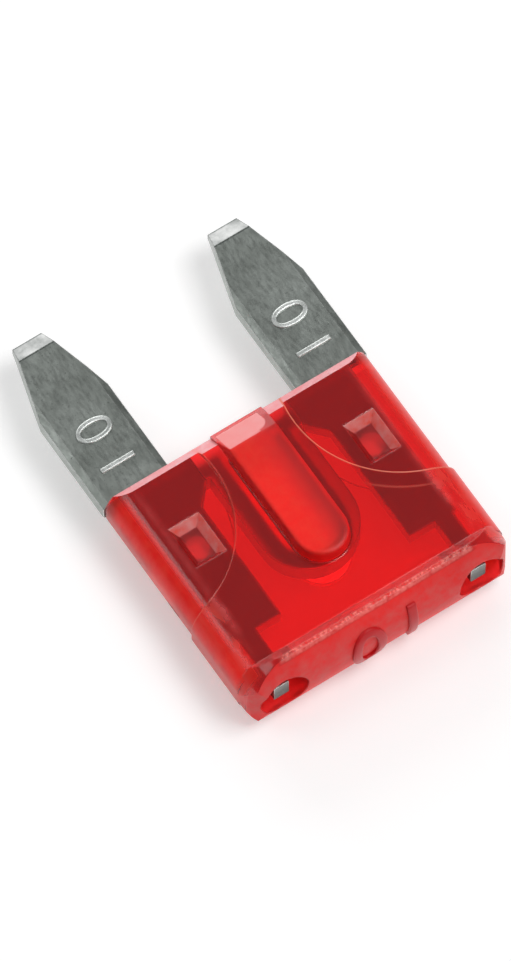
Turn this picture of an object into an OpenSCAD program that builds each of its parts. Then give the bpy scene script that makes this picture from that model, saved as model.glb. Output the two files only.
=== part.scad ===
// Miniature automotive blade fuse, lying on its broad face.
// X is the width, Y the length with the tabs towards +Y, Z the thickness.
// The origin is under the middle of the part's box.

/* [Housing] */
// Width of the housing across both tabs
body_w = 10.9; // [9.6:0.1:13]
// Thickness of the housing over its bulge
body_t = 3.6; // [3.4:0.1:4.6]
// Length of the housing from mouth to head
body_l = 9.3; // [9:0.1:12]
// Radius of the long side edges
side_r = 1.0; // [0.5:0.05:1.2]
// Radius of the head's corners seen from above
head_corner_r = 1.0; // [0.6:0.05:1.2]
// Length of the bevel at the mouth's edge on each broad face
mouth_bevel_l = 0.5; // [0.2:0.05:0.6]
// Height of the bevel at the mouth's edge on each broad face
mouth_bevel_h = 0.4; // [0.25:0.05:0.45]

/* [Head] */
// Height of the thicker band at the head above the broad face
band_h = 0.45; // [0.3:0.05:0.5]
// Length of the thicker band, its slope not counted
band_l = 0.7; // [0.65:0.05:1.1]
// Length of the slope from the band down to the broad face
band_slope = 0.4; // [0.3:0.05:0.6]
// Radius of the head's round ends, seen from the end
head_side_r = 1.7; // [1.2:0.05:1.7]
// How far the crowned end falls back from its middle to its edges
crown = 0.55; // [0.2:0.05:0.6]

/* [Bulge over the link] */
// Height of the bulge above the broad face
bulge_h = 0.5; // [0.5:0.05:0.6]
// Width of the bulge's flat top
bulge_top_w = 1.9; // [1.8:0.05:2]
// Width of the bulge at its foot
bulge_foot_w = 2.1; // [2.1:0.1:3]
// Distance from the mouth to the far end of the bulge's foot
bulge_l = 6.4; // [6.2:0.1:6.9]
// Length of the bevel at the bulge's mouth
bulge_bevel_l = 1.1; // [0.8:0.1:1.3]
// Drop of the bulge's top along that bevel
bulge_bevel_h = 0.7; // [0.4:0.05:0.75]

/* [Face recesses] */
// Radius of the shallow round recess at each mouth corner
arc_r = 4.35; // [4.2:0.05:4.4]
// Distance of its centre outside the housing's side
arc_out = 0.55; // [0.5:0.05:0.7]
// Distance of its centre from the mouth
arc_back = 1.2; // [1:0.1:1.4]
// Depth of the recess on the broad faces
arc_step = 0.15; // [0.05:0.01:0.2]
// Depth of the recess on the housing's side
arc_side = 0.06; // [0.03:0.01:0.1]

/* [Tabs] */
// Length of a tab outside the housing
tab_l = 7.0; // [6:0.1:9]
// Width of a tab
tab_w = 2.8; // [2.5:0.1:3]
// Thickness of the metal
tab_t = 0.8; // [0.6:0.05:0.9]
// Distance from the mouth to where a tab starts to taper
taper_at = 4.0; // [3:0.1:4.4]
// Width of a tab where its tip bevel starts
bevel_w = 1.45; // [1.3:0.05:1.8]
// Width of a tab at its tip
tip_w = 1.2; // [1:0.1:1.3]
// Thickness of a tab at its tip
tip_t = 0.3; // [0.2:0.05:0.5]
// Length of the bevel at a tab's tip
tip_bevel_l = 0.6; // [0.4:0.05:1.2]
// Width of the rolled edge along a tab's sides
roll_w = 0.25; // [0.1:0.05:0.35]
// Depth of the rolled edge along a tab's sides
roll_h = 0.1; // [0.05:0.01:0.15]

/* [Terminals] */
// Side wall of the housing outside a terminal
side_wall = 0.95; // [0.8:0.05:1.05]
// Width of the terminal inside the housing
strip_w = 1.8; // [1.6:0.05:1.9]
// Distance from the mouth to the end of the terminal's wide part
strip_l = 6.8; // [6.4:0.1:7]
// Width of the wide collar just inside the mouth
collar_w = 2.5; // [2.3:0.05:2.6]
// Length of the collar's straight part
collar_l = 1.1; // [0.9:0.1:1.3]
// Length of the collar's diagonal shoulder
collar_slope = 0.8; // [0.5:0.1:1]
// Width of the narrow finger from the terminal into the probe opening
finger_w = 0.6; // [0.4:0.05:0.7]

/* [Link] */
// Width of the thin link
link_w = 0.5; // [0.3:0.05:0.6]
// Thickness of the thin link
link_t = 0.3; // [0.2:0.05:0.4]
// Distance between the centres of the link's two legs
link_pitch = 2.6; // [2.5:0.1:2.8]
// Distance from the mouth to the far end of the link
link_l = 6.0; // [5.6:0.1:6]
// Distance from the mouth to the near edge of a leg's root
link_root = 0.4; // [0.3:0.05:0.5]
// Length of the root that joins a leg to its collar
root_l = 0.5; // [0.4:0.05:0.6]

/* [Cavity] */
// Gap between the link's outline and the cavity's side
link_gap = 0.3; // [0.2:0.05:0.35]
// Height of the wide part of the cavity
cavity_h = 1.3; // [1:0.1:1.5]
// Width of the deep channel under the bulge
channel_w = 2.0; // [1:0.1:2.2]
// Distance from the mouth to the far end of the deep channel
channel_l = 6.1; // [5.6:0.1:6.2]
// Wall between the deep channel and the bulge's top
bulge_wall = 0.55; // [0.5:0.05:0.7]

/* [Stakes and probe openings] */
// Distance from the mouth to the stakes
stake_at = 3.1; // [2.9:0.1:3.3]
// Radius of the plastic stake through a terminal
stake_r = 0.45; // [0.3:0.05:0.5]
// Width of a stake pocket at the face
pocket_w = 1.6; // [1.3:0.1:1.7]
// Length of a stake pocket at the face
pocket_l = 2.1; // [1.8:0.1:2.2]
// How far each wall of a stake pocket slopes in
pocket_slope = 0.45; // [0.2:0.05:0.5]
// Thickness of the plastic under a pocket's floor
pocket_web = 0.3; // [0.2:0.05:0.4]
// Radius of a round probe opening in the head's end
probe_r = 0.95; // [0.7:0.05:1]
// Depth of a probe opening from the middle of the head's end
probe_l = 1.2; // [1:0.1:1.5]
// Depth of the finger's tip below the middle of the head's end
tip_depth = 0.3; // [0.2:0.05:0.9]
// Gap between the metal and the plastic around it
fit_gap = 0.05; // [0.03:0.01:0.08]

/* [Hidden] */
$fn = 64;
// overshoot of a cutting shape past the face that it opens
cut = 0.1;

total_l = body_l + tab_l;
y_mouth = total_l / 2 - tab_l;
y_head = -total_l / 2;
z_mid = body_t / 2;
face_t = body_t - 2 * bulge_h;
band_t = face_t + 2 * band_h;
y_band = y_head + band_l;
// the thinner part ends under the middle of the band's slope
y_face_end = y_band + band_slope / 2;
tab_x = body_w / 2 - tab_w / 2;
strip_x = body_w / 2 - side_wall - strip_w / 2;
collar_x = body_w / 2 - side_wall - collar_w / 2;
strip_inner = strip_x - strip_w / 2;
collar_inner = collar_x - collar_w / 2;
leg_x = link_pitch / 2;
link_outer_r = leg_x + link_w / 2;
y_link_arc = y_mouth - link_l + link_outer_r;
y_strip_end = y_mouth - strip_l;
y_finger_end = y_head + tip_depth;
// the crown's arc passes the middle of the end and both edges of the band
crown_r = (pow(band_t / 2, 2) + pow(crown, 2)) / (2 * crown);

housing_colour = [0.80, 0.05, 0.07, 0.75];
metal_colour = [0.56, 0.58, 0.55];

// A 2D rectangle about the origin with true round corners
module round_rect(w, h, r) {
    square([w - 2 * r, h], center = true);
    square([w, h - 2 * r], center = true);
    for (sx = [-1, 1], sy = [-1, 1])
        translate([sx * (w / 2 - r), sy * (h / 2 - r)]) circle(r);
}

// Draws a section in X and Z, and extrudes it along Y from y0 to y1
module along_y(y0, y1) {
    translate([0, y1, z_mid]) rotate([90, 0, 0]) linear_extrude(y1 - y0) children();
}

// Draws a profile in Y and Z, and extrudes it to both sides of X = 0
module along_x(w) {
    translate([-w / 2, 0, z_mid]) rotate([90, 0, 90]) linear_extrude(w) children();
}

// Draws an outline in X and Y, and extrudes it to both sides of the middle plane
module along_z(h) {
    translate([0, 0, z_mid - h / 2]) linear_extrude(h) children();
}

// Repeats a shape that is drawn on the +X side on both sides
module both_sides() {
    children();
    mirror([1, 0, 0]) children();
}

// Repeats a shape that is drawn above the middle plane on both broad faces
module both_faces() {
    children();
    translate([0, 0, 2 * z_mid]) mirror([0, 0, 1]) children();
}

// The head's corners are round and the mouth's are square
module body_outline() {
    translate([-body_w / 2, y_head + head_corner_r]) square([body_w, body_l - head_corner_r]);
    translate([-body_w / 2 + head_corner_r, y_head])
        square([body_w - 2 * head_corner_r, body_l]);
    both_sides() translate([body_w / 2 - head_corner_r, y_head + head_corner_r])
        circle(head_corner_r);
}

// Side view of the head: the crowned end, the thicker band and its slope to the faces
module head_profile() {
    intersection() {
        polygon([
            [y_band + band_slope, face_t / 2],
            [y_band, band_t / 2],
            [y_head, band_t / 2],
            [y_head, -band_t / 2],
            [y_band, -band_t / 2],
            [y_band + band_slope, -face_t / 2],
        ]);
        translate([y_head + crown_r, 0]) circle(crown_r);
    }
}

// Side view of the thinner main part, with the bevels at its mouth
module main_profile() {
    polygon([
        [y_face_end, -face_t / 2],
        [y_face_end, face_t / 2],
        [y_mouth - mouth_bevel_l, face_t / 2],
        [y_mouth, face_t / 2 - mouth_bevel_h],
        [y_mouth, -face_t / 2 + mouth_bevel_h],
        [y_mouth - mouth_bevel_l, -face_t / 2],
    ]);
}

// The thinner main part with its round sides, and the thicker head
module body_block() {
    intersection() {
        along_y(y_head, y_mouth) round_rect(body_w, face_t, side_r);
        along_z(face_t) body_outline();
        along_x(body_w) main_profile();
    }
    intersection() {
        along_y(y_head, y_band + band_slope) round_rect(body_w, band_t, head_side_r);
        along_z(band_t) body_outline();
        along_x(body_w) head_profile();
    }
}

// Raised cover over the link with sloping sides, a round end and a bevelled mouth
module bulge() {
    foot = bulge_foot_w / 2;
    top = bulge_top_w / 2;
    z_foot = face_t / 2;
    z_top = face_t / 2 + bulge_h;
    y_end = y_mouth - bulge_l + foot;
    difference() {
        union() {
            along_y(y_end, y_mouth)
                polygon([[-foot, 0], [foot, 0], [foot, z_foot],
                         [top, z_top], [-top, z_top], [-foot, z_foot]]);
            translate([0, y_end, z_mid + z_foot]) cylinder(h = bulge_h, r1 = foot, r2 = top);
        }
        along_x(bulge_foot_w + 2 * cut)
            polygon([[y_mouth - bulge_bevel_l, z_top], [y_mouth, z_top - bulge_bevel_h],
                     [y_mouth + cut, z_top - bulge_bevel_h], [y_mouth + cut, z_top + cut],
                     [y_mouth - bulge_bevel_l, z_top + cut]]);
    }
}

// Shallow round recess at the mouth corner, over both broad faces and round the side.
// It is kept clear of the bulge's foot.
module arc_recess() {
    difference() {
        translate([body_w / 2 + arc_out, y_mouth - arc_back, -cut])
            cylinder(h = body_t + 2 * cut, r = arc_r);
        along_y(y_head, y_mouth + arc_r)
            round_rect(body_w - 2 * arc_side, face_t - 2 * arc_step, side_r);
        translate([-bulge_foot_w / 2, y_mouth - bulge_l, -2 * cut])
            cube([bulge_foot_w, bulge_l + arc_r, body_t + 4 * cut]);
    }
}

// Plan of one terminal inside the housing, grown by a gap on every side
module terminal_outline(gap) {
    outer = body_w / 2 - side_wall + gap;
    polygon([
        [outer, y_mouth],
        [outer, y_strip_end - gap],
        [strip_inner - gap, y_strip_end - gap],
        [strip_inner - gap, y_mouth - collar_l - collar_slope - gap],
        [collar_inner - gap, y_mouth - collar_l - gap],
        [collar_inner - gap, y_mouth],
    ]);
    translate([tab_x - finger_w / 2 - gap, y_finger_end])
        square([finger_w + 2 * gap, y_strip_end - y_finger_end]);
}

// Plan of the U: two legs and a half ring, and a root from each leg into its collar
module link_outline() {
    both_sides() {
        translate([leg_x - link_w / 2, y_link_arc])
            square([link_w, y_mouth - link_root - y_link_arc]);
        translate([leg_x - link_w / 2, y_mouth - link_root - root_l])
            square([collar_x - leg_x + link_w / 2, root_l]);
    }
    intersection() {
        translate([0, y_link_arc]) difference() {
            circle(link_outer_r);
            circle(leg_x - link_w / 2);
        }
        translate([-link_outer_r, y_link_arc - link_outer_r])
            square([2 * link_outer_r, link_outer_r]);
    }
}

// Room round the link: wide and low at the link, narrow and deep under the bulge.
// At the mouth it opens into both collars' slots, where the roots pass.
module link_cavity() {
    wide_r = link_outer_r + link_gap;
    deep_r = channel_w / 2;
    y_deep_end = y_mouth - channel_l + deep_r;
    root_room = link_root + root_l + link_gap;
    along_z(cavity_h) {
        translate([-collar_inner, y_mouth - root_room])
            square([2 * collar_inner, root_room + cut]);
        translate([-wide_r, y_link_arc]) square([2 * wide_r, y_mouth + cut - y_link_arc]);
        translate([0, y_link_arc]) circle(wide_r);
    }
    along_z(body_t - 2 * bulge_wall) {
        translate([-deep_r, y_deep_end]) square([channel_w, y_mouth - bulge_bevel_l - y_deep_end]);
        translate([0, y_deep_end]) circle(deep_r);
    }
}

// Four-sided pocket whose walls slope in towards its floor
module stake_pocket() {
    z_face = face_t / 2 + cut;
    z_floor = tab_t / 2 + fit_gap + pocket_web;
    translate([strip_x, y_mouth - stake_at, 0]) intersection() {
        along_y(-pocket_l, pocket_l)
            polygon([[-pocket_w / 2, z_face], [pocket_w / 2, z_face],
                     [pocket_w / 2 - pocket_slope, z_floor],
                     [-pocket_w / 2 + pocket_slope, z_floor]]);
        along_x(2 * pocket_w)
            polygon([[-pocket_l / 2, z_face], [pocket_l / 2, z_face],
                     [pocket_l / 2 - pocket_slope, z_floor],
                     [-pocket_l / 2 + pocket_slope, z_floor]]);
    }
}

// Round opening in the head's end, down past the tip of the finger
module probe_opening() {
    translate([tab_x, y_head + probe_l, z_mid]) rotate([90, 0, 0])
        cylinder(h = probe_l + cut, r = probe_r);
}

module stake(r, h) {
    translate([strip_x, y_mouth - stake_at, z_mid - h / 2]) cylinder(h = h, r = r);
}

module housing() {
    color(housing_colour) union() {
        difference() {
            union() {
                body_block();
                both_faces() bulge();
            }
            link_cavity();
            both_sides() {
                along_z(tab_t + 2 * fit_gap) terminal_outline(fit_gap);
                arc_recess();
                both_faces() stake_pocket();
                probe_opening();
            }
        }
        both_sides() stake(stake_r, tab_t + 2 * fit_gap + pocket_web);
    }
}

// Plan of one tab outside the housing
module tab_outline() {
    y_tip = y_mouth + tab_l;
    translate([tab_x, 0]) polygon([
        [-tab_w / 2, y_mouth],
        [-tab_w / 2, y_mouth + taper_at],
        [-bevel_w / 2, y_tip - tip_bevel_l],
        [-tip_w / 2, y_tip],
        [tip_w / 2, y_tip],
        [bevel_w / 2, y_tip - tip_bevel_l],
        [tab_w / 2, y_mouth + taper_at],
        [tab_w / 2, y_mouth],
    ]);
}

// Section of a tab with both its side edges rolled on both faces
module tab_section() {
    translate([tab_x, 0]) polygon([
        for (p = [[1, 1], [-1, 1], [-1, -1], [1, -1]])
            for (q = p[0] * p[1] > 0 ? [0, 1] : [1, 0])
                [p[0] * (tab_w / 2 - q * roll_w), p[1] * (tab_t / 2 - (1 - q) * roll_h)]
    ]);
}

module tab() {
    y_tip = y_mouth + tab_l;
    intersection() {
        along_z(tab_t) tab_outline();
        along_y(y_mouth, y_tip) tab_section();
        along_x(2 * body_w) polygon([
            [y_mouth, -tab_t / 2], [y_tip - tip_bevel_l, -tab_t / 2], [y_tip, -tip_t / 2],
            [y_tip, tip_t / 2], [y_tip - tip_bevel_l, tab_t / 2], [y_mouth, tab_t / 2],
        ]);
    }
}

module fuse_element() {
    color(metal_colour) union() {
        both_sides() {
            tab();
            difference() {
                along_z(tab_t) terminal_outline(0);
                stake(stake_r + fit_gap, 2 * tab_t);
            }
        }
        along_z(link_t) link_outline();
    }
}

housing();
fuse_element();
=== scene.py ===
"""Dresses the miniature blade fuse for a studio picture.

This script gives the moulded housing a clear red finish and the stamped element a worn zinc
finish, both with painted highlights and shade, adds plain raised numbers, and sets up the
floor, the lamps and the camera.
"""

from __future__ import annotations

import logging
import math
from dataclasses import dataclass, field, replace
from enum import Enum
from typing import Optional, Sequence, Union

import bpy
from mathutils import Matrix, Vector


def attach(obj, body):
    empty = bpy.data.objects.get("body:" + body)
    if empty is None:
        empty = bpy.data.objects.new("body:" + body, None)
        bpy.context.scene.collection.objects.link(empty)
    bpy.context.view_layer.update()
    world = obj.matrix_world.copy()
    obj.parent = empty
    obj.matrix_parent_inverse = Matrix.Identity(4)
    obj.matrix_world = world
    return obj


MM = 0.001
# Slots of the mix node: its two numbers, its two colours, and the colour that it gives.
MIX_NUMBERS = (2, 3)
MIX_COLOURS = (6, 7)
MIXED_COLOUR = 2
LOG = logging.getLogger("blade_fuse")
Socket = bpy.types.NodeSocket
Colour = tuple[float, float, float]
Value = Union[float, Socket]
Tone = Union[Colour, Socket]
Setting = Union[float, tuple[float, ...]]

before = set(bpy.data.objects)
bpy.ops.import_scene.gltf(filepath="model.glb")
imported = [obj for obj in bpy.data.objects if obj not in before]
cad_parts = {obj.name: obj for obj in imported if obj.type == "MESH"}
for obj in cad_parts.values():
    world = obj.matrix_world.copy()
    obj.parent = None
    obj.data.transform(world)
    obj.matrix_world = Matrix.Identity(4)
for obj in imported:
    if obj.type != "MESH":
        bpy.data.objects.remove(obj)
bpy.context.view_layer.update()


class Side(Enum):
    """One of the two tabs, as the sign of its X."""

    LEFT = -1
    RIGHT = 1


def deselect_all() -> None:
    """Leaves object mode with nothing selected."""
    if bpy.context.object is not None and bpy.context.object.mode != "OBJECT":
        bpy.ops.object.mode_set(mode="OBJECT")
    bpy.ops.object.select_all(action="DESELECT")


def make_active(piece: bpy.types.Object) -> None:
    """Selects one piece alone and makes it the active one.

    Args:
        piece: the object to work on.
    """
    deselect_all()
    piece.select_set(True)
    bpy.context.view_layer.objects.active = piece


def set_inputs(node: bpy.types.Node, values: dict[str, Setting]) -> None:
    """Sets a node's input sockets by name.

    Args:
        node: the node whose sockets are set.
        values: socket names and the constants that they get.
    """
    for name, value in values.items():
        node.inputs[name].default_value = value


@dataclass(frozen=True)
class Span:
    """A stretch of a value, with soft ends."""

    low: float
    high: float
    soft: float = 0.02


@dataclass(frozen=True)
class Step:
    """A soft step along a value, from one level at its start to another at its end."""

    start: float
    end: float
    base: float = 0.0
    top: float = 1.0


@dataclass(frozen=True)
class Grain:
    """A noise pattern: features in a millimetre, octaves, stretch, and the fine ones' strength."""

    per_mm: float
    detail: float
    stretch: tuple[float, float, float] = (1.0, 1.0, 1.0)
    rough: float = 0.5


@dataclass
class NodeSheet:
    """A material's node tree while it is being drawn up."""

    name: str
    material: bpy.types.Material = field(init=False)

    def __post_init__(self) -> None:
        """Makes an empty material of that name."""
        self.material = bpy.data.materials.new(self.name)
        self.material.use_nodes = True
        self.material.node_tree.nodes.clear()

    def add(self, kind: str, **settings: Union[str, int]) -> bpy.types.Node:
        """Adds a node and sets its properties.

        Args:
            kind: the node's type name.
            **settings: properties of the node.

        Returns:
            The new node.
        """
        node = self.material.node_tree.nodes.new(kind)
        for name, value in settings.items():
            setattr(node, name, value)
        return node

    def join(self, out: Socket, into: Socket) -> None:
        """Links one socket to another."""
        self.material.node_tree.links.new(out, into)

    def place(self) -> Socket:
        """Adds the piece's own coordinates.

        Returns:
            The coordinates, in millimetres.
        """
        node = self.add("ShaderNodeVectorMath", operation="SCALE")
        node.inputs["Scale"].default_value = 1 / MM
        self.join(self.add("ShaderNodeTexCoord").outputs["Object"], node.inputs[0])
        return node.outputs["Vector"]

    def split(self, vector: Socket) -> tuple[Socket, ...]:
        """Takes a vector apart.

        Args:
            vector: the vector.

        Returns:
            Its X, Y and Z.
        """
        node = self.add("ShaderNodeSeparateXYZ")
        self.join(vector, node.inputs[0])
        return tuple(node.outputs)

    def calc(self, operation: str, *values: Value) -> Socket:
        """Works out one sum.

        Args:
            operation: what the math node does.
            *values: numbers or sockets.

        Returns:
            The result.
        """
        node = self.add("ShaderNodeMath", operation=operation)
        for socket, value in zip(node.inputs, values):
            self.feed(value, socket)
        return node.outputs[0]

    def feed(self, value: Value, socket: Socket) -> None:
        """Gives a socket a number, or another socket's value.

        Args:
            value: the number or the other socket.
            socket: the socket that gets it.
        """
        if isinstance(value, Socket):
            self.join(value, socket)
        else:
            socket.default_value = value

    def all_of(self, *masks: Socket) -> Socket:
        """Multiplies masks.

        Args:
            *masks: the masks.

        Returns:
            A mask that is 1 only where all of them are.
        """
        result = masks[0]
        for mask in masks[1:]:
            result = self.calc("MULTIPLY", result, mask)
        return result

    def any_of(self, *masks: Socket) -> Socket:
        """Takes the greatest of some masks.

        Args:
            *masks: the masks.

        Returns:
            A mask that is 1 where any of them is.
        """
        result = masks[0]
        for mask in masks[1:]:
            result = self.calc("MAXIMUM", result, mask)
        return result

    def along(self, value: Socket, step: Step) -> Socket:
        """Follows a step along a value, and holds its level beyond both ends.

        Args:
            value: the value that it follows.
            step: the step.

        Returns:
            The level.
        """
        node = self.add("ShaderNodeMapRange")
        set_inputs(node, {"From Min": step.start, "From Max": step.end,
                          "To Min": step.base, "To Max": step.top})
        self.join(value, node.inputs["Value"])
        return node.outputs["Result"]

    def within(self, value: Socket, span: Span) -> Socket:
        """Marks where a value lies in a span.

        Args:
            value: the value to test.
            span: the span.

        Returns:
            A mask that is 1 in the span and 0 beyond it.
        """
        return self.all_of(self.along(value, Step(span.low - span.soft, span.low + span.soft)),
                           self.along(value, Step(span.high + span.soft, span.high - span.soft)))

    def distance(self, first: Socket, second: Socket, centre: tuple[float, float]) -> Socket:
        """Gives the distance from a line that runs along the third axis.

        Args:
            first: the first coordinate.
            second: the second coordinate.
            centre: where the line crosses the plane of the two.

        Returns:
            The distance.
        """
        near = self.calc("SUBTRACT", first, centre[0])
        far = self.calc("SUBTRACT", second, centre[1])
        total = self.calc("ADD", self.calc("MULTIPLY", near, near), self.calc("MULTIPLY", far, far))
        return self.calc("SQRT", total)

    def fade(self, mask: Socket, first: Value, second: Value) -> Socket:
        """Mixes two numbers.

        Args:
            mask: 0 gives the first and 1 the second.
            first: a number or a socket.
            second: a number or a socket.

        Returns:
            The mixed number.
        """
        node = self.add("ShaderNodeMix", data_type="FLOAT")
        self.join(mask, node.inputs[0])
        for slot, value in zip(MIX_NUMBERS, (first, second)):
            self.feed(value, node.inputs[slot])
        return node.outputs[0]

    def noise(self, at: Socket, grain: Grain) -> Socket:
        """Adds a noise pattern.

        Args:
            at: the coordinates that it reads.
            grain: its sizes.

        Returns:
            The noise's value from 0 to 1.
        """
        mapping = self.add("ShaderNodeMapping")
        mapping.inputs["Scale"].default_value = tuple(s * grain.per_mm for s in grain.stretch)
        node = self.add("ShaderNodeTexNoise")
        set_inputs(node, {"Scale": 1.0, "Detail": grain.detail, "Roughness": grain.rough})
        self.join(at, mapping.inputs["Vector"])
        self.join(mapping.outputs["Vector"], node.inputs["Vector"])
        return node.outputs["Fac"]

    def blend(self, factor: Socket, first: Tone, second: Tone) -> Socket:
        """Mixes two colours.

        Args:
            factor: 0 gives the first and 1 the second.
            first: a colour or a socket.
            second: a colour or a socket.

        Returns:
            The mixed colour.
        """
        node = self.add("ShaderNodeMix", data_type="RGBA")
        self.join(factor, node.inputs[0])
        for slot, value in zip(MIX_COLOURS, (first, second)):
            if isinstance(value, Socket):
                self.join(value, node.inputs[slot])
            else:
                node.inputs[slot].default_value = (*value, 1.0)
        return node.outputs[MIXED_COLOUR]

    def bevel(self, radius_mm: float, samples: int) -> bpy.types.Node:
        """Adds a node that rounds the edges in the shading.

        Args:
            radius_mm: the radius of the edges.
            samples: how many rays it sends out.

        Returns:
            The node.
        """
        node = self.add("ShaderNodeBevel", samples=samples)
        node.inputs["Radius"].default_value = radius_mm * MM
        return node

    def bump(self, height: Socket, depth_mm: float, normal: Socket) -> Socket:
        """Adds relief to the surface.

        Args:
            height: the relief's height, from 0 to 1.
            depth_mm: how deep the relief is.
            normal: the normal that it starts from.

        Returns:
            The new normal.
        """
        node = self.add("ShaderNodeBump")
        set_inputs(node, {"Strength": 1.0, "Distance": depth_mm * MM})
        self.join(height, node.inputs["Height"])
        self.join(normal, node.inputs["Normal"])
        return node.outputs["Normal"]

    def finish(self, shader: bpy.types.Node,
               volume: Optional[bpy.types.Node] = None) -> bpy.types.Material:
        """Ends the sheet with its output.

        Args:
            shader: the surface's shader.
            volume: the body's shader.

        Returns:
            The material.
        """
        out = self.add("ShaderNodeOutputMaterial")
        self.join(shader.outputs[0], out.inputs["Surface"])
        if volume is not None:
            self.join(volume.outputs["Volume"], out.inputs["Volume"])
        return self.material


class Patch(Enum):
    """A kind of face on the moulding that looks different from its plain faces."""

    INNER = "inner"
    BORE = "bore"
    DOME = "dome"
    TOP = "top"
    SIDE = "side"
    END = "end"
    FROST = "frost"
    RIM = "rim"
    MOUTH = "mouth"
    FACET = "facet"
    POCKET = "pocket"
    CREASE = "crease"
    SCUFF = "scuff"
    RIDGE = "ridge"
    ARC = "arc"
    GATE = "gate"


@dataclass(frozen=True)
class Look:
    """Colour, clear share, roughness and shine of a patch, and the colour that mottles it."""

    tint: Colour
    clear: float
    rough: float
    shine: float = 0.5
    mottle: Optional[Colour] = None


class Spot:
    """The point that is shaded, in millimetres, and the way that its face looks."""

    def __init__(self, sheet: NodeSheet, at: Socket, grain: Socket) -> None:
        """Splits the point and the face's normal.

        Args:
            sheet: the material's node sheet.
            at: the piece's coordinates.
            grain: a fine noise.
        """
        self.at = at
        self.grain = grain
        self.x, self.y, self.z = sheet.split(at)
        self.side = sheet.calc("ABSOLUTE", self.x)
        self.facing = sheet.add("ShaderNodeNewGeometry").outputs["True Normal"]
        self.to_x, self.to_y, _ = sheet.split(self.facing)


# Places are in millimetres. A facing is one part of the face's own normal.
Masks = dict[Patch, Socket]


@dataclass(frozen=True)
class InnerMarks:
    """Where the inner walls, the probe openings and the painted highlights on the pocket walls lie.
    """

    wall_side: Step = Step(4.62, 4.58)
    wall_y: Span = Span(-7.0, 1.1)
    wall_z: Span = Span(0.8, 2.8)
    bore_centre: tuple[float, float] = (4.05, 1.8)
    bore_r: Step = Step(0.99, 0.97)
    bore_y: Span = Span(-8.2, -6.9)
    pocket_side: Span = Span(2.75, 4.45)
    pocket_y: Span = Span(-3.05, -0.85)
    pocket_z: Span = Span(2.56, 3.09, 0.01)
    pocket_facing: Step = Step(-0.3, -0.5)

    def draw(self, sheet: NodeSheet, spot: Spot) -> Masks:
        """Marks these patches.

        Args:
            sheet: the material's node sheet.
            spot: the point that is shaded.

        Returns:
            The mask of each patch.
        """
        from_bore = sheet.distance(spot.side, spot.z, self.bore_centre)
        in_pocket = sheet.all_of(sheet.within(spot.side, self.pocket_side),
                                 sheet.within(spot.y, self.pocket_y),
                                 sheet.within(spot.z, self.pocket_z))
        # Only the pocket walls that face one way get the painted highlight.
        facing = sheet.any_of(sheet.along(spot.to_x, self.pocket_facing),
                              sheet.along(spot.to_y, self.pocket_facing))
        return {
            Patch.INNER: sheet.all_of(sheet.along(spot.side, self.wall_side),
                                      sheet.within(spot.y, self.wall_y),
                                      sheet.within(spot.z, self.wall_z)),
            Patch.BORE: sheet.all_of(sheet.along(from_bore, self.bore_r),
                                     sheet.within(spot.y, self.bore_y)),
            Patch.POCKET: sheet.all_of(in_pocket, facing),
        }


@dataclass(frozen=True)
class BulgeMarks:
    """Where the bulge, its frosted top and its rounder edges lie."""

    dome_side: Step = Step(1.12, 1.08)
    dome_y: Span = Span(-5.5, 1.1, 0.05)
    dome_z: Step = Step(3.12, 3.2)
    top_side: Step = Step(0.99, 0.95)
    top_x: Step = Step(0.7, -0.3)
    top_y: Span = Span(-5.3, 0.1, 0.05)
    top_z: Step = Step(3.5, 3.58)
    round_side: Step = Step(1.5, 1.3)
    round_y: Span = Span(-5.6, 0.0, 0.1)
    round_z: Step = Step(3.25, 3.40)

    def draw(self, sheet: NodeSheet, spot: Spot) -> Masks:
        """Marks these patches.

        Args:
            sheet: the material's node sheet.
            spot: the point that is shaded.

        Returns:
            The mask of each patch.
        """
        return {
            Patch.DOME: sheet.all_of(sheet.along(spot.z, self.dome_z),
                                     sheet.along(spot.side, self.dome_side),
                                     sheet.within(spot.y, self.dome_y)),
            Patch.TOP: sheet.all_of(sheet.along(spot.z, self.top_z),
                                    sheet.along(spot.side, self.top_side),
                                    sheet.within(spot.y, self.top_y),
                                    sheet.along(spot.x, self.top_x)),
        }

    def rounded(self, sheet: NodeSheet, spot: Spot) -> Socket:
        """Marks the part of the bulge with the rounder edges.

        Args:
            sheet: the material's node sheet.
            spot: the point that is shaded.

        Returns:
            The mask.
        """
        return sheet.all_of(sheet.along(spot.z, self.round_z),
                            sheet.within(spot.y, self.round_y),
                            sheet.along(spot.side, self.round_side))


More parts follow.
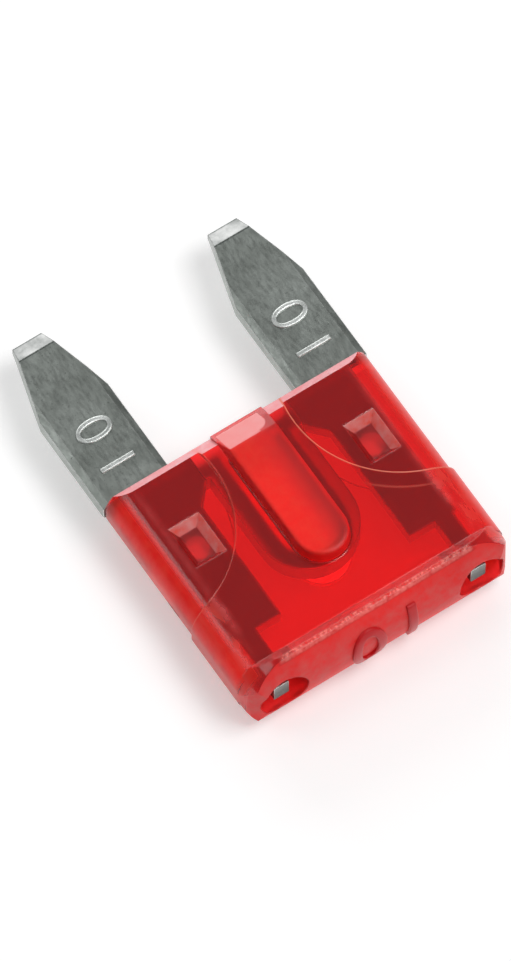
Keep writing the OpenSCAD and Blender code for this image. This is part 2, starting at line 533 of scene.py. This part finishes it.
@dataclass(frozen=True)
class MouthMarks:
    """Where the painted highlights on the bevels at the mouth and on the facet of the bulge lie."""

    facing: Step = Step(0.3, 0.42)
    mouth_y: Step = Step(-0.05, 0.03)
    mouth_side: Step = Step(1.0, 1.06)
    bulge_side: Step = Step(1.02, 0.98)
    facet_x: Span = Span(-0.93, 0.78)
    facet_y: Span = Span(0.07, 1.0)
    corner_centre: tuple[float, float] = (0.35, 0.60)
    corner_r: Step = Step(0.46, 0.42)
    corner_x: Step = Step(0.37, 0.33)
    corner_y: Step = Step(0.58, 0.62)

    def draw(self, sheet: NodeSheet, spot: Spot) -> Masks:
        """Marks these patches.

        Args:
            sheet: the material's node sheet.
            spot: the point that is shaded.

        Returns:
            The mask of each patch.
        """
        along_mouth = sheet.all_of(sheet.along(spot.to_y, self.facing),
                                   sheet.along(spot.y, self.mouth_y))
        from_corner = sheet.distance(spot.x, spot.y, self.corner_centre)
        round_corner = sheet.any_of(sheet.along(from_corner, self.corner_r),
                                    sheet.along(spot.x, self.corner_x),
                                    sheet.along(spot.y, self.corner_y))
        facet = sheet.all_of(sheet.within(spot.x, self.facet_x),
                             sheet.within(spot.y, self.facet_y), round_corner)
        return {
            Patch.MOUTH: sheet.all_of(along_mouth, sheet.along(spot.side, self.mouth_side)),
            Patch.FACET: sheet.all_of(along_mouth, sheet.along(spot.side, self.bulge_side), facet),
        }


@dataclass(frozen=True)
class EndMarks:
    """Where the head's crowned end, its frost, the painted shade along its upper rim and the
    painted highlight on its ridge lie.
    """

    facing: Step = Step(-0.35, -0.6)
    end_y: Step = Step(-7.4, -7.5)
    frost_z: Span = Span(1.3, 3.3, 0.35)
    rim_z: Step = Step(3.37, 3.41)
    rim_side: Step = Step(4.1, 3.9, 0.0, 0.9)
    ridge_y: Span = Span(-7.68, -7.44, 0.03)
    ridge_side: Step = Step(4.0, 3.8)
    ridge_z: Step = Step(3.35, 3.45)
    ridge_breaks: Step = Step(0.32, 0.62, 0.2, 1.0)

    def draw(self, sheet: NodeSheet, spot: Spot) -> Masks:
        """Marks these patches.

        Args:
            sheet: the material's node sheet.
            spot: the point that is shaded.

        Returns:
            The mask of each patch.
        """
        at_end = sheet.all_of(sheet.along(spot.to_y, self.facing),
                              sheet.along(spot.y, self.end_y))
        return {
            Patch.END: at_end,
            Patch.FROST: sheet.all_of(at_end, sheet.within(spot.z, self.frost_z)),
            Patch.RIM: sheet.all_of(at_end, sheet.along(spot.z, self.rim_z),
                                    sheet.along(spot.side, self.rim_side)),
            Patch.RIDGE: sheet.all_of(sheet.within(spot.y, self.ridge_y),
                                      sheet.along(spot.side, self.ridge_side),
                                      sheet.along(spot.z, self.ridge_z),
                                      sheet.along(spot.grain, self.ridge_breaks)),
        }


@dataclass(frozen=True)
class SideMarks:
    """Where the narrow sides, the painted highlight along their upper edges and the gate mark lie.
    """

    facing: Step = Step(0.25, 0.6)
    side_side: Step = Step(4.6, 4.8)
    side_y: Span = Span(-7.6, 1.1, 0.1)
    crease_side: Span = Span(4.26, 4.56, 0.12)
    crease_y: Span = Span(-5.6, 0.7, 0.4)
    crease_z: Step = Step(2.92, 2.98)
    wear: Grain = Grain(1.6, 4.0, rough=0.6)
    wear_level: Step = Step(0.30, 0.70, 0.2, 1.0)
    scuff_side: Span = Span(4.45, 5.3, 0.15)
    scuff_y: Span = Span(-6.9, -4.1, 0.3)
    scuff_z: Step = Step(2.3, 2.7)
    streaks: Grain = Grain(3.0, 4.0, (1.5, 0.4, 1.5))
    streak_level: Step = Step(0.40, 0.65, 0.1, 0.9)
    gate_x: Step = Step(-5.2, -5.25)
    gate_y: Span = Span(-3.5, -2.8, 0.03)
    gate_z: Span = Span(1.42, 1.62, 0.03)

    def draw(self, sheet: NodeSheet, spot: Spot) -> Masks:
        """Marks these patches.

        Args:
            sheet: the material's node sheet.
            spot: the point that is shaded.

        Returns:
            The mask of each patch.
        """
        sideways = sheet.along(sheet.calc("ABSOLUTE", spot.to_x), self.facing)
        # Noise that breaks up the painted highlight along the upper edge.
        wear = sheet.along(sheet.noise(spot.at, self.wear), self.wear_level)
        streaks = sheet.along(sheet.noise(spot.at, self.streaks), self.streak_level)
        return {
            Patch.SIDE: sheet.all_of(sideways, sheet.along(spot.side, self.side_side),
                                     sheet.within(spot.y, self.side_y)),
            Patch.CREASE: sheet.all_of(sheet.within(spot.side, self.crease_side),
                                       sheet.within(spot.y, self.crease_y),
                                       sheet.along(spot.z, self.crease_z), wear),
            Patch.SCUFF: sheet.all_of(sheet.within(spot.side, self.scuff_side),
                                      sheet.within(spot.y, self.scuff_y),
                                      sheet.along(spot.z, self.scuff_z), streaks),
            Patch.GATE: sheet.all_of(sheet.along(spot.x, self.gate_x),
                                     sheet.within(spot.y, self.gate_y),
                                     sheet.within(spot.z, self.gate_z)),
        }


@dataclass(frozen=True)
class ArcMarks:
    """Where the painted highlight along the arc recess and a painted reflection of it on the right
    lie.
    """

    centre: tuple[float, float] = (6.0, -0.05)
    line_r: Span = Span(4.325, 4.395)
    line_side: Span = Span(1.5, 5.5)
    line_x: Step = Step(-0.5, 0.5, 0.35, 1.0)
    line_z: Step = Step(2.4, 2.7)
    echo_r: Span = Span(4.90, 4.96, 0.04)
    echo_x: Span = Span(2.2, 4.3, 0.3)
    echo_y: Step = Step(-3.2, -3.7, 0.0, 0.55)

    def draw(self, sheet: NodeSheet, spot: Spot) -> Masks:
        """Marks the arc's lines.

        Args:
            sheet: the material's node sheet.
            spot: the point that is shaded.

        Returns:
            The mask of the patch.
        """
        from_centre = sheet.distance(spot.side, spot.y, self.centre)
        # A second arc on the right: a painted reflection of the first.
        echo = sheet.all_of(sheet.within(from_centre, self.echo_r),
                            sheet.within(spot.x, self.echo_x),
                            sheet.along(spot.y, self.echo_y))
        lines = sheet.any_of(sheet.within(from_centre, self.line_r), echo)
        return {Patch.ARC: sheet.all_of(lines, sheet.along(spot.z, self.line_z),
                                        sheet.within(spot.side, self.line_side),
                                        sheet.along(spot.x, self.line_x))}


Marks = Union[InnerMarks, MouthMarks, EndMarks, SideMarks, ArcMarks]


@dataclass(frozen=True)
class ClearRedPlastic:
    """Clear red moulded plastic, with frosted ends, painted highlights on the bevels, pocket walls,
    edges, ridge and arc lines, and painted shade along the head's rim.
    """

    plain: Look = Look((0.98, 0.04, 0.045), 0.84, 0.10)
    patches: dict[Patch, Look] = field(default_factory=lambda: {
        Patch.INNER: Look((0.98, 0.04, 0.045), 0.84, 0.42),
        Patch.BORE: Look((1.0, 0.05, 0.05), 0.60, 0.30),
        Patch.DOME: Look((0.98, 0.03, 0.03), 0.72, 0.36, 0.3),
        Patch.TOP: Look((1.0, 0.022, 0.01), 0.58, 0.42, 0.2, (1.0, 0.042, 0.02)),
        Patch.SIDE: Look((1.0, 0.02, 0.015), 0.50, 0.32, 0.1, (1.0, 0.05, 0.03)),
        Patch.END: Look((1.0, 0.022, 0.02), 0.25, 0.45, 0.1),
        Patch.FROST: Look((0.99, 0.03, 0.028), 0.25, 0.45, 0.1, (0.89, 0.10, 0.095)),
        # Painted shade: a darker red along the top of the head's end face.
        Patch.RIM: Look((0.72, 0.01, 0.012), 0.30, 0.30, 0.1),
        # Painted highlights: pink tints on the mouth's bevels and on the bulge's facet.
        Patch.MOUTH: Look((1.0, 0.30, 0.32), 0.05, 0.36, 0.5, (1.0, 0.50, 0.53)),
        Patch.FACET: Look((1.0, 0.29, 0.28), 0.12, 0.40, 0.5, (1.0, 0.35, 0.35)),
        # Painted highlight: pink on the pocket walls that face one way.
        Patch.POCKET: Look((1.0, 0.13, 0.10), 0.20, 0.36, 0.5, (1.0, 0.42, 0.40)),
        # Painted highlight: pink along the upper face's edge, broken up by noise.
        Patch.CREASE: Look((1.0, 0.15, 0.15), 0.45, 0.40, 0.4),
        Patch.SCUFF: Look((1.0, 0.07, 0.05), 0.50, 0.40, 0.2),
        # Painted highlight: pink dashes along the ridge at the head.
        Patch.RIDGE: Look((1.0, 0.26, 0.22), 0.35, 0.30),
        # Painted highlight and painted reflection: the arc's bright lines.
        Patch.ARC: Look((1.0, 0.24, 0.15), 0.25, 0.30, 0.3),
        Patch.GATE: Look((0.30, 0.0, 0.0), 0.10, 0.50, 0.2),
    })
    bulge: BulgeMarks = BulgeMarks()
    marks: tuple[Marks, ...] = (InnerMarks(), MouthMarks(), EndMarks(), SideMarks(), ArcMarks())
    grainy: tuple[Patch, ...] = (Patch.END, Patch.MOUTH, Patch.POCKET, Patch.TOP)
    depth_tint: Colour = (0.97, 0.09, 0.11)
    depth_density: float = 1100.0
    ior: float = 1.5
    edge_r_mm: float = 0.08
    bulge_edge_r_mm: float = 0.28
    edge_samples: int = 8
    flow: Grain = Grain(0.55, 3.0, (0.6, 1.4, 1.0))
    flow_level: Step = Step(0.35, 0.7)
    flow_mm: float = 0.03
    rough_spread: float = 0.04
    grain: Grain = Grain(7.0, 3.0)
    grain_mm: float = 0.006
    plain_grain: float = 0.3
    mottling: Grain = Grain(2.2, 5.0, rough=0.62)
    mottling_level: Step = Step(0.34, 0.68)

    def material(self, name: str = "clear_red_plastic") -> bpy.types.Material:
        """Draws up the material.

        Args:
            name: the material's name.

        Returns:
            The material.
        """
        sheet = NodeSheet(name)
        at = sheet.place()
        shader = sheet.add("ShaderNodeBsdfPrincipled")
        set_inputs(shader, {"Base Color": (*self.plain.tint, 1.0), "IOR": self.ior,
                            "Transmission Weight": self.plain.clear,
                            "Specular IOR Level": self.plain.shine})
        flow = sheet.noise(at, self.flow)
        grain = sheet.noise(at, self.grain)
        spread = replace(self.flow_level, base=self.plain.rough - self.rough_spread,
                         top=self.plain.rough + self.rough_spread)
        rough = sheet.along(flow, spread)
        fine: Value = self.plain_grain
        edge = sheet.bevel(self.edge_r_mm, self.edge_samples)
        if self.patches:
            spot = Spot(sheet, at, grain)
            rough, fine = self.patch_up(sheet, shader, spot, rough)
            radius = sheet.fade(self.bulge.rounded(sheet, spot),
                                self.edge_r_mm * MM, self.bulge_edge_r_mm * MM)
            sheet.join(radius, edge.inputs["Radius"])
        sheet.join(rough, shader.inputs["Roughness"])
        waves = sheet.bump(flow, self.flow_mm, edge.outputs["Normal"])
        relief = sheet.calc("MULTIPLY", grain, fine)
        sheet.join(sheet.bump(relief, self.grain_mm, waves), shader.inputs["Normal"])
        depth = sheet.add("ShaderNodeVolumeAbsorption")
        set_inputs(depth, {"Color": (*self.depth_tint, 1.0), "Density": self.depth_density})
        return sheet.finish(shader, depth)

    def patch_up(self, sheet: NodeSheet, shader: bpy.types.Node, spot: Spot,
                 rough: Socket) -> tuple[Socket, Socket]:
        """Changes colour, clear share, shine and roughness from patch to patch.

        Args:
            sheet: the material's node sheet.
            shader: the shader that gets the colour, the clear share and the shine.
            spot: the point that is shaded.
            rough: the roughness of the plain faces.

        Returns:
            The roughness and the strength of the fine relief.
        """
        masks = self.bulge.draw(sheet, spot)
        for group in self.marks:
            masks.update(group.draw(sheet, spot))
        mottling = sheet.along(sheet.noise(spot.at, self.mottling), self.mottling_level)
        colour: Tone = self.plain.tint
        clear: Value = self.plain.clear
        shine: Value = self.plain.shine
        for patch, look in self.patches.items():
            tint = sheet.blend(mottling, look.tint, look.mottle) if look.mottle else look.tint
            colour = sheet.blend(masks[patch], colour, tint)
            clear = sheet.fade(masks[patch], clear, look.clear)
            rough = sheet.fade(masks[patch], rough, look.rough)
            shine = sheet.fade(masks[patch], shine, look.shine)
        sheet.join(colour, shader.inputs["Base Color"])
        sheet.join(clear, shader.inputs["Transmission Weight"])
        sheet.join(shine, shader.inputs["Specular IOR Level"])
        marked = sheet.any_of(*(masks[patch] for patch in self.grainy))
        return rough, sheet.fade(marked, self.plain_grain, 1.0)


@dataclass(frozen=True)
class WornZinc:
    """Dull stamped zinc with a grain along its length, specks and bright edges, painted highlights
    on the tips and painted shade inside the housing.
    """

    dull: Colour = (0.24, 0.262, 0.243)
    light: Colour = (0.35, 0.38, 0.357)
    # The specks and the painted shade on the zinc share this colour.
    speck: Colour = (0.09, 0.10, 0.095)
    bright: Colour = (0.80, 0.82, 0.80)
    tip: Colour = (0.40, 0.405, 0.40)
    edge_r_mm: float = 0.06
    edge_samples: int = 6
    edge_turn: Step = Step(0.995, 0.93, 0.0, 0.8)
    cloud: Grain = Grain(0.8, 5.0, rough=0.6)
    cloud_level: Step = Step(0.35, 0.68)
    rolling: Grain = Grain(9.0, 3.0, (1.0, 0.3, 1.0))
    rolling_rough: Step = Step(0.3, 0.7, 0.34, 0.5)
    rolling_mm: float = 0.003
    pits: Grain = Grain(9.0, 4.0, rough=0.7)
    pit_level: Step = Step(0.6, 0.72, 0.0, 0.7)
    pit_mm: float = 0.006
    housed_y: Step = Step(1.2, 1.1, 0.0, 0.45)
    tip_y: Step = Step(7.4, 7.5)
    tip_facing: Step = Step(0.15, 0.25)
    tip_level: Step = Step(0.35, 0.6, 0.2, 1.0)
    tip_rough: float = 0.3
    finger_y: Step = Step(-7.6, -7.7)
    finger_facing: Step = Step(-0.3, -0.5)
    finger_z: Step = Step(2.05, 1.75, 0.0, 0.85)
    line_y: Span = Span(7.49, 7.55)
    brim_y: Step = Step(8.08, 8.12)
    line_level: Step = Step(0.35, 0.55, 0.4, 0.9)

    def material(self, name: str = "worn_zinc") -> bpy.types.Material:
        """Draws up the material.

        Args:
            name: the material's name.

        Returns:
            The material.
        """
        sheet = NodeSheet(name)
        at = sheet.place()
        shader = sheet.add("ShaderNodeBsdfPrincipled")
        set_inputs(shader, {"Metallic": 1.0})
        cloud = sheet.noise(at, self.cloud)
        rolling = sheet.noise(at, self.rolling)
        pits = sheet.noise(at, self.pits)
        spot = Spot(sheet, at, pits)
        edge = sheet.bevel(self.edge_r_mm, self.edge_samples)
        # Painted highlight: the tips' facets that face the back get a pale colour.
        tip = sheet.all_of(sheet.along(spot.y, self.tip_y),
                           sheet.along(spot.to_y, self.tip_facing))
        pale = sheet.blend(sheet.along(cloud, self.tip_level), self.speck, self.tip)
        tone = sheet.blend(sheet.along(cloud, self.cloud_level), self.dull, self.light)
        tone = sheet.blend(sheet.along(pits, self.pit_level), tone, self.speck)
        # Painted shade: the metal inside the housing is darkened.
        tone = sheet.blend(sheet.along(spot.y, self.housed_y), tone, self.speck)
        tone = sheet.blend(self.worn_edges(sheet, spot, edge), tone, self.bright)
        tone = sheet.blend(tip, tone, pale)
        tone = self.shade(sheet, spot, tone)
        sheet.join(tone, shader.inputs["Base Color"])
        rough = sheet.fade(tip, sheet.along(rolling, self.rolling_rough), self.tip_rough)
        sheet.join(rough, shader.inputs["Roughness"])
        rolled = sheet.bump(rolling, self.rolling_mm, edge.outputs["Normal"])
        sheet.join(sheet.bump(pits, self.pit_mm, rolled), shader.inputs["Normal"])
        return sheet.finish(shader)

    def worn_edges(self, sheet: NodeSheet, spot: Spot, edge: bpy.types.Node) -> Socket:
        """Marks the edges, where the rounded normal leaves the face's own.

        Args:
            sheet: the material's node sheet.
            spot: the point that is shaded.
            edge: the node that rounds the edges.

        Returns:
            The mask.
        """
        turn = sheet.add("ShaderNodeVectorMath", operation="DOT_PRODUCT")
        sheet.join(edge.outputs["Normal"], turn.inputs[0])
        sheet.join(spot.facing, turn.inputs[1])
        return sheet.along(turn.outputs["Value"], self.edge_turn)

    def shade(self, sheet: NodeSheet, spot: Spot, tone: Socket) -> Socket:
        """Paints shade on the finger's lower part and darkens the lines at the tips.

        Args:
            sheet: the material's node sheet.
            spot: the point that is shaded.
            tone: the colour so far.

        Returns:
            The darkened colour.
        """
        # Painted shade on the finger's end inside the probe opening.
        finger = sheet.all_of(sheet.along(spot.y, self.finger_y),
                              sheet.along(spot.to_y, self.finger_facing),
                              sheet.along(spot.z, self.finger_z))
        tone = sheet.blend(finger, tone, self.speck)
        lines = sheet.any_of(sheet.within(spot.y, self.line_y), sheet.along(spot.y, self.brim_y))
        broken = sheet.all_of(lines, sheet.along(spot.grain, self.line_level))
        return sheet.blend(broken, tone, self.speck)


def dress(piece: bpy.types.Object, material: bpy.types.Material) -> None:
    """Gives a piece one material in every slot.

    Args:
        piece: the object to dress.
        material: its material.
    """
    if not piece.material_slots:
        piece.data.materials.append(material)
    for slot in piece.material_slots:
        slot.material = material


@dataclass(frozen=True)
class RaisedNumber:
    """A plain number in raised strokes."""

    text: str
    size_mm: float
    thin_mm: float
    rise_mm: float
    round_mm: float
    spacing: float = 1.2
    round_steps: int = 2
    merge_m: float = 1e-7
    smooth_deg: float = 35.0

    def build(self, name: str, place: Matrix) -> bpy.types.Object:
        """Models the number and puts it in place.

        Args:
            name: the piece's name.
            place: where the number's middle goes, in metres.

        Returns:
            The number as a mesh.
        """
        deselect_all()
        bpy.ops.object.text_add()
        piece = bpy.context.object
        piece.name = name
        words = piece.data
        words.body = self.text
        words.align_x = words.align_y = "CENTER"
        words.size = self.size_mm * MM
        words.offset = -self.thin_mm * MM
        words.extrude = self.rise_mm * MM
        words.bevel_depth = self.round_mm * MM
        words.bevel_resolution = self.round_steps
        words.space_character = self.spacing
        make_active(piece)
        bpy.ops.object.convert(target="MESH")
        low, high = self.extent(piece)
        middle = (low + high) / 2
        piece.data.transform(Matrix.Translation(-Vector((middle.x, middle.y, 0))))
        piece.data.transform(place)
        piece.data.name = name
        bpy.ops.object.mode_set(mode="EDIT")
        bpy.ops.mesh.select_all(action="SELECT")
        bpy.ops.mesh.remove_doubles(threshold=self.merge_m)
        bpy.ops.mesh.normals_make_consistent(inside=False)
        bpy.ops.object.mode_set(mode="OBJECT")
        bpy.ops.object.shade_smooth_by_angle(angle=math.radians(self.smooth_deg))
        return piece

    def cut_across(self, piece: bpy.types.Object, levels_mm: Sequence[float]) -> None:
        """Cuts level edges into the number, so that it can be bent.

        Args:
            piece: the number.
            levels_mm: the heights of the cuts.
        """
        make_active(piece)
        bpy.ops.object.mode_set(mode="EDIT")
        for level in levels_mm:
            bpy.ops.mesh.select_all(action="SELECT")
            bpy.ops.mesh.bisect(plane_co=(0, 0, level * MM), plane_no=(0, 0, 1))
        bpy.ops.object.mode_set(mode="OBJECT")

    @staticmethod
    def extent(piece: bpy.types.Object) -> tuple[Vector, Vector]:
        """Measures a mesh by its own vertices.

        Args:
            piece: the mesh.

        Returns:
            Its lowest and highest corner.
        """
        spots = [v.co for v in piece.data.vertices]
        return (Vector(min(s[i] for s in spots) for i in range(3)),
                Vector(max(s[i] for s in spots) for i in range(3)))


@dataclass
class Housing:
    """The moulded housing and the number on its head."""

    plastic: ClearRedPlastic = field(default_factory=ClearRedPlastic)
    strokes: ClearRedPlastic = ClearRedPlastic(Look((0.72, 0.015, 0.02), 0.2, 0.35, 0.2), {})
    y_head_mm: float = -8.15
    z_mid_mm: float = 1.8
    crown_r_mm: float = 3.059
    number: RaisedNumber = RaisedNumber("10", 3.0, 0.02, 0.07, 0.05)
    cuts_per_mm: int = 5
    cuts_each_way: int = 5

    def build(self) -> list[bpy.types.Object]:
        """Dresses the moulding and adds its number.

        Returns:
            The pieces that it made or dressed.
        """
        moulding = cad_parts["housing"]
        dress(moulding, self.plastic.material())
        strokes = self.strokes.material("red_strokes")
        return [moulding, self.head_number(strokes)]

    def head_number(self, material: bpy.types.Material) -> bpy.types.Object:
        """Models the number on the crowned end, upside down to the upper face.

        Args:
            material: the plastic of its strokes.

        Returns:
            The number.
        """
        turn = Matrix(((-1, 0, 0), (0, 0, -1), (0, -1, 0))).to_4x4()
        at = Matrix.Translation(Vector((0, self.y_head_mm, self.z_mid_mm)) * MM)
        piece = self.number.build("head_number", at @ turn)
        cuts = range(-self.cuts_each_way, self.cuts_each_way + 1)
        self.number.cut_across(piece, [self.z_mid_mm + cut / self.cuts_per_mm for cut in cuts])
        for v in piece.data.vertices:
            up = v.co.z / MM - self.z_mid_mm
            v.co.y += (self.crown_r_mm - math.sqrt(self.crown_r_mm ** 2 - up ** 2)) * MM
        dress(piece, material)
        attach(piece, "root")
        return piece


@dataclass
class FuseElement:
    """The stamped metal element and the numbers on its tabs."""

    zinc: WornZinc = WornZinc()
    # Painted highlight: the tabs' raised strokes get a much lighter zinc.
    rubbed: WornZinc = WornZinc(dull=(0.5, 0.53, 0.51), light=(0.8, 0.83, 0.81),
                                speck=(0.3, 0.32, 0.3))
    tab_x_mm: float = 4.05
    number_y_mm: float = 3.3
    face_z_mm: float = 2.2
    number: RaisedNumber = RaisedNumber("10", 2.0, 0.035, 0.02, 0.035, 1.5)

    def build(self) -> list[bpy.types.Object]:
        """Dresses the element and adds a number to each tab.

        Returns:
            The pieces that it made or dressed.
        """
        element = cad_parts["fuse_element"]
        dress(element, self.zinc.material())
        strokes = self.rubbed.material("rubbed_zinc")
        return [element] + [self.tab_number(side, strokes) for side in Side]

    def tab_number(self, side: Side, material: bpy.types.Material) -> bpy.types.Object:
        """Models the number on one tab, read from the mouth to the tip.

        Args:
            side: the tab.
            material: the metal of its strokes.

        Returns:
            The number.
        """
        at = Vector((side.value * self.tab_x_mm, self.number_y_mm, self.face_z_mm)) * MM
        turn = Matrix.Rotation(math.radians(90), 4, "Z")
        piece = self.number.build(f"{side.name.lower()}_tab_number", Matrix.Translation(at) @ turn)
        dress(piece, material)
        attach(piece, "root")
        return piece


@dataclass(frozen=True)
class Softbox:
    """A square lamp that faces the fuse."""

    name: str
    towards: tuple[float, float, float]
    size_m: float
    level: float
    distance_m: float = 0.3

    def build(self, target: Vector) -> None:
        """Hangs the lamp.

        Args:
            target: the point that it faces.
        """
        away = Vector(self.towards).normalized()
        deselect_all()
        bpy.ops.object.light_add(type="AREA", location=target + away * self.distance_m)
        lamp = bpy.context.object
        lamp.name = self.name
        lamp.rotation_mode = "QUATERNION"
        lamp.rotation_quaternion = (-away).to_track_quat("-Z", "Y")
        lamp.data.shape = "SQUARE"
        lamp.data.size = self.size_m
        # At this power the lamp alone lights a white surface that faces it to its level.
        lamp.data.energy = self.level * math.pi ** 2 * self.distance_m ** 2


@dataclass
class Studio:
    """The floor, the lamps and the camera."""

    floor_m: float = 3.0
    floor_white: float = 0.86
    floor_seen: float = 0.33
    floor_through: float = 0.62
    world_level: float = 0.3
    lamps: tuple[Softbox, ...] = (
        Softbox("key_lamp", (0.32, -0.27, 0.91), 0.14, 0.44),
        Softbox("front_lamp", (0.15, -0.92, 0.36), 0.3, 0.12),
        Softbox("back_lamp", (0.24, 0.91, 0.34), 0.26, 0.48),
        Softbox("margin_lamp", (-0.48, 0.37, 0.79), 0.12, 0.1),
    )
    azimuth: float = -32.76
    elevation: float = 63.62
    roll: float = -0.77
    target_mm: tuple[float, float, float] = (0.107, 0.08, 0.0)
    distance_mm: float = 437.0
    focal_px: float = 12615.0
    frame_px: float = 961.0
    sensor_mm: float = 36.0
    clip_m: tuple[float, float] = (0.01, 10.0)

    def build(self) -> list[bpy.types.Object]:
        """Sets up all that isn't part of the fuse.

        Returns:
            The floor.
        """
        scene = bpy.context.scene
        scene.view_settings.view_transform = "Standard"
        self.sky()
        for lamp in self.lamps:
            lamp.build(Vector(self.target_mm) * MM)
        self.camera()
        return [self.floor()]

    def sky(self) -> None:
        """Gives the world a plain even light that a camera sees as white."""
        world = bpy.data.worlds.new("studio")
        bpy.context.scene.world = world
        world.use_nodes = True
        tree = world.node_tree
        tree.nodes.clear()
        path = tree.nodes.new("ShaderNodeLightPath")
        level = tree.nodes.new("ShaderNodeMapRange")
        set_inputs(level, {"To Min": self.world_level, "To Max": 1.0})
        sky = tree.nodes.new("ShaderNodeBackground")
        out = tree.nodes.new("ShaderNodeOutputWorld")
        tree.links.new(path.outputs["Is Camera Ray"], level.inputs["Value"])
        tree.links.new(level.outputs["Result"], sky.inputs["Strength"])
        tree.links.new(sky.outputs["Background"], out.inputs["Surface"])

    def floor(self) -> bpy.types.Object:
        """Lays a pale floor that keeps the fuse's shadow.

        Returns:
            The floor.
        """
        deselect_all()
        bpy.ops.mesh.primitive_plane_add(size=self.floor_m)
        floor = bpy.context.object
        floor.name = "floor"
        sheet = NodeSheet("pale_floor")
        matt = sheet.add("ShaderNodeBsdfDiffuse")
        matt.inputs["Color"].default_value = (*[self.floor_white] * 3, 1.0)
        path = sheet.add("ShaderNodeLightPath").outputs
        mirrored = sheet.any_of(path["Is Glossy Ray"], path["Is Transmission Ray"])
        glow = sheet.add("ShaderNodeEmission")
        level = sheet.any_of(sheet.calc("MULTIPLY", path["Is Camera Ray"], self.floor_seen),
                             sheet.calc("MULTIPLY", mirrored, self.floor_through))
        sheet.join(level, glow.inputs["Strength"])
        both = sheet.add("ShaderNodeAddShader")
        sheet.join(matt.outputs["BSDF"], both.inputs[0])
        sheet.join(glow.outputs["Emission"], both.inputs[1])
        dress(floor, sheet.finish(both))
        return floor

    def camera(self) -> None:
        """Sets the camera to the photograph's view of the fuse."""
        az, el, roll = (math.radians(a) for a in (self.azimuth, self.elevation, self.roll))
        back = Vector((math.sin(az) * math.cos(el), -math.cos(az) * math.cos(el), math.sin(el)))
        right = Vector((math.cos(az), math.sin(az), 0.0))
        up = back.cross(right)
        across = right * math.cos(roll) + up * math.sin(roll)
        over = up * math.cos(roll) - right * math.sin(roll)
        deselect_all()
        bpy.ops.object.camera_add()
        camera = bpy.context.object
        camera.name = "camera"
        camera.data.sensor_width = self.sensor_mm
        camera.data.lens = self.focal_px * self.sensor_mm / self.frame_px
        camera.data.clip_start, camera.data.clip_end = self.clip_m
        turned = Matrix((across, over, back)).transposed()
        camera.rotation_mode = "QUATERNION"
        camera.rotation_quaternion = turned.to_quaternion()
        camera.location = Vector(self.target_mm) * MM + back * self.distance_mm * MM
        bpy.context.scene.camera = camera


def main() -> None:
    """Builds the housing, the element and the studio, and logs each piece with its face count."""
    logging.basicConfig(level=logging.INFO, format="%(name)s: %(message)s")
    for assembly in (Housing(), FuseElement(), Studio()):
        for piece in assembly.build():
            LOG.info("%s: %s with %d faces", type(assembly).__name__, piece.name,
                     len(piece.data.polygons))


if __name__ == "__main__":
    main()
